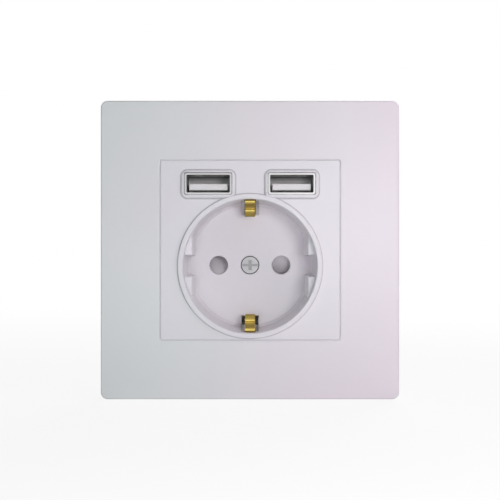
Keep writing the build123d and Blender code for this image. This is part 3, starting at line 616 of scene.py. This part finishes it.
for centre, half, corner in (
    (rim_centre, (0.0, 0.0, 0.0), rim_radius),
    (port_centre, port_half, surround_corner),
):
    values = {"Place": place, "Centre": centre, "Half": half, "Corner": corner}
    values.update({"Face": plate_face, "Width": shade_line_width})
    masks.append(use_effect(tree, painted_corner_shade, values)["Mask"])
# painted shade: a thin darker line in the inner corners round the rim and the surrounds
mix_into_base(insert_white, number_step(tree, "MAXIMUM", *masks), corner_shade_grey)
print("foot lines on the insert:", len(masks))

# %% [markdown]
# A circuit board is glass cloth under green lacquer. The lacquer is clear enough to show the
# copper beneath as paler fields, a little raised, with darker gaps where it was etched away. A
# cell pattern gives both: its borders are the gaps.

# %% Circuit board
cell_scale = 420.0
gap_share = 0.09
board_green, tree, surface, place = blank_material("board_green")
cells = tree.nodes.new("ShaderNodeTexVoronoi")
cells.feature = "DISTANCE_TO_EDGE"
cells.inputs["Scale"].default_value = cell_scale
tree.links.new(place, cells.inputs["Vector"])
copper = number_step(tree, "GREATER_THAN", cells.outputs["Distance"], gap_share)
green = mixed_colour(tree, copper, (0.012, 0.11, 0.045), (0.02, 0.19, 0.075))
tree.links.new(green, surface["Base Color"])
bumped(tree, surface, copper, strength=0.3, depth=0.02 * MM)
surface["Roughness"].default_value = 0.32
surface["Coat Weight"].default_value = 0.5
print("materials so far:", len(bpy.data.materials))

# %% [markdown]
# Every solid now gets its finish. Their meshes stay as they were loaded, because their shape is
# already right, and only the material changes. The list below says which piece has which finish.

# %% Dress the solids
finish_of = {
    "cover_frame": pearl_white,
    "centre_plate": insert_white,
    "centre_screw": head_nickel,
    "support_plate": plate_zinc,
    "plate_screws": screw_zinc,
    "rear_housing": housing_grey,
    "contact_block": insulator_white,
    "shutter_rotor": shutter_grey,
    "shutter_spring": spring_steel,
    "earth_strap": clip_brass,
    "line_contact": contact_brass,
    "neutral_contact": contact_brass,
    "line_terminal": contact_brass,
    "neutral_terminal": contact_brass,
    "earth_terminal": contact_brass,
    "terminal_screws": screw_zinc,
    "usb_shell_left": port_nickel,
    "usb_shell_right": port_nickel,
    "usb_tongue_left": tongue_white,
    "usb_tongue_right": tongue_white,
    "usb_contacts_left": contact_brass,
    "usb_contacts_right": contact_brass,
    "usb_board": board_green,
    "power_board": board_green,
    "transformer_core": ferrite_black,
    "transformer_winding": tape_yellow,
    "input_capacitor": sleeve_black,
    "output_capacitor": sleeve_black,
    "controller_chip": chip_black,
    "fuse_resistor": lacquer_blue,
    "link_header": chip_black,
    "link_pins": contact_brass,
}
for name, solid in nodes.items():
    solid.data.materials.clear()
    solid.data.materials.append(finish_of[name])
print("dressed:", len(finish_of), "of", len(nodes))

# %% [markdown]
# The small pieces come next. Each is a mesh of its own, so one helper turns a bmesh into an
# object, shades it smooth between its real edges, gives it a finish and fixes it to its carrier.
# Two more pick out the open edges that a filling needs, and the vertices that an extrusion has
# just drawn.

# %% New pieces
def add_piece(name, bm, material, body="socket", edge=35.0):
    bmesh.ops.recalc_face_normals(bm, faces=bm.faces)
    mesh = bpy.data.meshes.new(name)
    bm.to_mesh(mesh)
    bm.free()
    mesh.shade_smooth()
    mesh.set_sharp_from_angle(angle=math.radians(edge))
    mesh.materials.append(material)
    made_piece = bpy.data.objects.new(name, mesh)
    bpy.context.scene.collection.objects.link(made_piece)
    if body:
        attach(made_piece, body)
    print(name, len(mesh.polygons), "faces")
    return made_piece


def open_edges(bm):
    return [edge for edge in bm.edges if edge.is_boundary]


def drawn_vertices(drawn):
    return [item for item in drawn["geom"] if isinstance(item, bmesh.types.BMVert)]


print("meshes before the new pieces:", len(bpy.data.meshes))

# %% [markdown]
# The joint between insert and frame reads as a pale line and not as a black slit, because a small
# shoulder on the insert closes it just under the face. The shoulder is a thin square ring: one flat
# face with its corners rounded, inset by the width of the ring, emptied and drawn back.

# %% Joint shoulder
joint_fill = 0.19 * MM
joint_overlap = 0.10 * MM
joint_depth = 0.42 * MM
shoulder_back = 0.80 * MM
window_corner = 0.88 * MM
shoulder_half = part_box("centre_plate")[1].x + joint_fill
shoulder_place = Matrix.Translation((0.0, plate_face + joint_depth, 0.0))
facing_room = Matrix.Rotation(math.pi / 2, 4, "X")
bm = bmesh.new()
bmesh.ops.create_grid(
    bm, x_segments=1, y_segments=1, size=shoulder_half, matrix=shoulder_place @ facing_room
)
bmesh.ops.bevel(
    bm,
    geom=list(bm.verts),
    offset=window_corner,
    affect="VERTICES",
    segments=6,
    profile=0.5,
    material=-1,
)
ring = bmesh.ops.inset_individual(
    bm, faces=list(bm.faces), thickness=joint_fill + joint_overlap, use_even_offset=True
)
inner = [face for face in bm.faces if face not in ring["faces"]]
bmesh.ops.delete(bm, geom=inner, context="FACES")
drawn = bmesh.ops.extrude_face_region(bm, geom=list(bm.faces))
bmesh.ops.translate(bm, verts=drawn_vertices(drawn), vec=(0.0, shoulder_back, 0.0))
add_piece("joint_shoulder", bm, insert_white)

# %% [markdown]
# The shutter spring is round wire. A small circle of wire turned about the axis, and moved along it
# a little at each step, is exactly how such a coil is wound. Its two ends turn off along the axis,
# one into the fixed block and one into the rotor. A ball, a little thicker than the wire, rounds
# each knee.

# %% Shutter spring
rotor_low, rotor_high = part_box("shutter_rotor")
coil_low, coil_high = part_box("shutter_spring")
axis_x = 0.0
axis_z = (rotor_low.z + rotor_high.z) / 2
wire = 0.4 * MM
wire_sides = 12
knee = 0.52 * wire
leg = 1.0 * MM
coil_radius = 4.2 * MM
coil_turns = 3.25
coil_front = coil_low.y + leg
coil_back = coil_high.y - leg
coil_steps = int(32 * coil_turns)
coil_start = Vector((axis_x, coil_front, axis_z + coil_radius))
coil_end = Vector((axis_x + coil_radius, coil_back, axis_z))
across_wire = Matrix.Translation(coil_start) @ Matrix.Rotation(math.pi / 2, 4, "Y")
bm = bmesh.new()
ring = bmesh.ops.create_circle(
    bm, cap_ends=False, segments=wire_sides, radius=wire / 2, matrix=across_wire
)
bmesh.ops.spin(
    bm,
    geom=ring["verts"] + list(bm.edges),
    cent=(axis_x, 0.0, axis_z),
    axis=(0.0, 1.0, 0.0),
    dvec=(0.0, (coil_back - coil_front) / coil_steps, 0.0),
    angle=2 * math.pi * coil_turns,
    steps=coil_steps,
    use_merge=False,
)
bmesh.ops.holes_fill(bm, edges=open_edges(bm), sides=wire_sides)
for corner, way in ((coil_start, -1), (coil_end, 1)):
    bmesh.ops.create_uvsphere(
        bm, u_segments=wire_sides, v_segments=8, radius=knee, matrix=Matrix.Translation(corner)
    )
    leg_middle = corner + Vector((0.0, way * leg / 2, 0.0))
    bmesh.ops.create_cone(
        bm,
        cap_ends=True,
        segments=wire_sides,
        radius1=wire / 2,
        radius2=wire / 2,
        depth=leg,
        matrix=Matrix.Translation(leg_middle) @ facing_room,
    )
spring = add_piece("wound_spring", bm, spring_steel, body=None)
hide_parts("shutter_spring")
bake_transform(spring)

# %% [markdown]
# A screw thread is a small ridge wound the same way. It is spun from three points, closed at both
# ends, and laid on the plain shank of each screw where the solid model left it off. The ridge is a
# little narrower than the pitch, so that its turns stay clear of each other.

# %% Screw threads
def wind_thread(bm, x, z, y_start, y_end, root, crest, pitch):
    ridge = 0.9 * pitch
    corners = []
    for radius, shift in ((root, -1.0), (crest, -0.5), (root, 0.0)):
        corners.append(bm.verts.new((x + radius, y_start + shift * ridge, z)))
    profile = [bm.edges.new((corners[i], corners[(i + 1) % 3])) for i in range(3)]
    turns = (y_end - y_start) / pitch
    thread_steps = int(24 * turns)
    bmesh.ops.spin(
        bm,
        geom=corners + profile,
        cent=(x, 0.0, z),
        axis=(0.0, 1.0, 0.0),
        dvec=(0.0, (y_end - y_start) / thread_steps, 0.0),
        angle=2 * math.pi * turns,
        steps=thread_steps,
        use_merge=False,
    )


centre_thread = {"root": 1.42 * MM, "crest": 1.68 * MM, "pitch": 0.5 * MM}
centre_tip = 0.8 * MM
strap_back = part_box("earth_strap")[1].y
bm = bmesh.new()
wind_thread(bm, 0.0, well_z, strap_back, screw_high.y - centre_tip, **centre_thread)
bmesh.ops.holes_fill(bm, edges=open_edges(bm), sides=3)
add_piece("centre_screw_thread", bm, screw_zinc, edge=20.0)

plate_thread = {"root": 1.2 * MM, "crest": 1.42 * MM, "pitch": 0.8 * MM}
plate_thread_start = 1.0 * MM
plate_tip = 0.7 * MM
head_radius = 2.2 * MM
screws_low, screws_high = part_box("plate_screws")
plate_thread_end = screws_high.y - plate_tip
bm = bmesh.new()
for x in (screws_low.x + head_radius, screws_high.x - head_radius):
    for z in (screws_low.z + head_radius, screws_high.z - head_radius):
        wind_thread(bm, x, z, plate_thread_start, plate_thread_end, **plate_thread)
bmesh.ops.holes_fill(bm, edges=open_edges(bm), sides=3)
add_piece("plate_screw_threads", bm, screw_zinc, edge=20.0)

# %% [markdown]
# Every pin that comes through a board is held by a drop of solder, which climbs the pin. A plain
# cone with few sides is enough at this size. On the ports' board the drops point backwards, and
# on the charger's board, where the bars of the pin contacts end, they point up.

# %% Solder joints
def solder_drop(bm, foot, turn, radius, height):
    middle = Matrix.Translation((0.0, 0.0, height / 2))
    bmesh.ops.create_cone(
        bm,
        cap_ends=True,
        segments=12,
        radius1=radius,
        radius2=radius * 0.45,
        depth=height,
        matrix=Matrix.Translation(foot) @ turn @ middle,
    )


backwards = Matrix.Rotation(-math.pi / 2, 4, "X")
upwards = Matrix.Identity(4)
contact_offsets_mm = (-3.5, -1.0, 1.0, 3.5)
shell_leg_inset = 0.4 * MM
bar_x = 16.0 * MM
bar_sheet = 0.7 * MM
board_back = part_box("usb_board")[1].y
charger_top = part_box("power_board")[1].z
bm = bmesh.new()
for side in ("left", "right"):
    contacts_low, contacts_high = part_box(f"usb_contacts_{side}")
    contacts_x = (contacts_low.x + contacts_high.x) / 2
    contacts_z = (contacts_low.z + contacts_high.z) / 2
    for offset_mm in contact_offsets_mm:
        foot = (contacts_x + offset_mm * MM, board_back, contacts_z)
        solder_drop(bm, foot, backwards, radius=0.72 * MM, height=0.4 * MM)
    low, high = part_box(f"usb_shell_{side}")
    for x in (low.x + shell_leg_inset, high.x - shell_leg_inset):
        foot = (x, board_back, (low.z + high.z) / 2)
        solder_drop(bm, foot, backwards, radius=1.1 * MM, height=0.5 * MM)
for name, tab_x in (("line_contact", -bar_x), ("neutral_contact", bar_x)):
    foot = (tab_x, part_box(name)[1].y - bar_sheet / 2, charger_top)
    solder_drop(bm, foot, upwards, radius=1.9 * MM, height=0.6 * MM)
add_piece("solder_joints", bm, bright_tin, edge=50.0)

# %% [markdown]
# The control chip stands on eight bent legs. One leg is a bent line, drawn out sideways and then
# thickened; a loop sets four on each side. The bends are given as distances out from the chip's
# side and up from its underside.

# %% Chip legs
legs_per_side = 4
leg_width = 0.42 * MM
leg_pitch = 1.27 * MM
leg_thickness = 0.18 * MM
leg_bends_mm = ((0.0, 0.75), (0.35, 0.75), (0.55, 0.12), (0.95, 0.12))
chip_low, chip_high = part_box("controller_chip")
chip_x = (chip_low.x + chip_high.x) / 2
bm = bmesh.new()
for side_y, way in ((chip_low.y, -1), (chip_high.y, 1)):
    for number in range(legs_per_side):
        x = chip_x + (number - (legs_per_side - 1) / 2) * leg_pitch - leg_width / 2
        points = []
        for out_mm, up_mm in leg_bends_mm:
            points.append(bm.verts.new((x, side_y + way * out_mm * MM, chip_low.z + up_mm * MM)))
        line = [bm.edges.new(pair) for pair in zip(points, points[1:])]
        drawn = bmesh.ops.extrude_edge_only(bm, edges=line)
        bmesh.ops.translate(bm, verts=drawn_vertices(drawn), vec=(leg_width, 0.0, 0.0))
bmesh.ops.recalc_face_normals(bm, faces=bm.faces)
bmesh.ops.solidify(bm, geom=list(bm.faces), thickness=leg_thickness)
add_piece("chip_legs", bm, bright_tin, edge=30.0)

# %% [markdown]
# Each electrolytic capacitor is an aluminium can in a plastic sleeve, rolled in near one end to
# grip its rubber seal. Half of its outline, spun once round the axis, gives the can, the groove
# and the rounded shoulders together. The outline is given as shares of the radius and as depths
# from either end.

# %% Capacitors
merge_distance = 0.001 * MM
seal_outline_mm = (
    (0.0, 0.15),
    (0.72, 0.15),
    (0.80, 0.0),
    (0.92, 0.08),
    (1.0, 0.35),
    (1.0, 1.5),
    (0.88, 1.75),
    (0.88, 1.95),
    (1.0, 2.2),
)
top_outline_mm = ((1.0, 0.35), (0.92, 0.05), (0.85, 0.0), (0.0, 0.0))


def capacitor_can(name):
    low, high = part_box(name)
    radius = (high.x - low.x) / 2
    centre_x = (low.x + high.x) / 2
    centre_z = (low.z + high.z) / 2
    outline = [(share, low.y + depth_mm * MM) for share, depth_mm in seal_outline_mm]
    outline += [(share, high.y - depth_mm * MM) for share, depth_mm in top_outline_mm]
    bm = bmesh.new()
    points = [bm.verts.new((centre_x + share * radius, y, centre_z)) for share, y in outline]
    line = [bm.edges.new(pair) for pair in zip(points, points[1:])]
    bmesh.ops.spin(
        bm,
        geom=points + line,
        cent=(centre_x, 0.0, centre_z),
        axis=(0.0, 1.0, 0.0),
        angle=2 * math.pi,
        steps=48,
        use_merge=True,
    )
    bmesh.ops.remove_doubles(bm, verts=bm.verts, dist=merge_distance)
    can = add_piece(f"{name}_can", bm, sleeve_black, edge=40.0)
    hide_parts(name)


for name in ("input_capacitor", "output_capacitor"):
    capacitor_can(name)

# %% [markdown]
# Such housings are marked beside each wire hole with the plain signs for live, neutral and earth.
# They are raised by a tenth of a millimetre on the underside, where the wires go in. The letters
# are text made into a mesh, and the earth sign is a stem on three shorter and shorter bars.

# %% Wire signs
sign_height = 0.1 * MM
letter_size = 4.0 * MM
letter_x = 12.4 * MM
letter_y = 24.6 * MM
earth_y = 13.0 * MM
earth_bars_mm = ((1.0, 0.35, 2.0), (0.0, 3.0, 0.35), (-0.7, 2.0, 0.35), (-1.4, 1.0, 0.35))
sign_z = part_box("rear_housing")[0].z


def sign_letter(bm, letter, x):
    curve = bpy.data.curves.new(f"sign_{letter}", "FONT")
    curve.body = letter
    curve.size = letter_size
    curve.extrude = sign_height
    curve.align_x = "CENTER"
    curve.align_y = "CENTER"
    holder = bpy.data.objects.new(f"sign_{letter}", curve)
    flat = holder.to_mesh()
    # The letter lies flat on the underside and reads from below, with its top towards the room
    flat.transform(Matrix.Translation((x, letter_y, sign_z)) @ Matrix.Rotation(math.pi, 4, "X"))
    bm.from_mesh(flat)
    holder.to_mesh_clear()
    bpy.data.objects.remove(holder)
    bpy.data.curves.remove(curve)


bm = bmesh.new()
sign_letter(bm, "L", -letter_x)
sign_letter(bm, "N", letter_x)
for up_mm, width_mm, length_mm in earth_bars_mm:
    place = Matrix.Translation((0.0, earth_y - up_mm * MM, sign_z))
    size = Matrix.Diagonal((width_mm * MM, length_mm * MM, 2 * sign_height, 1.0))
    bmesh.ops.create_cube(bm, size=1.0, matrix=place @ size)
bmesh.ops.remove_doubles(bm, verts=bm.verts, dist=merge_distance)
add_piece("wire_signs", bm, housing_grey, edge=30.0)
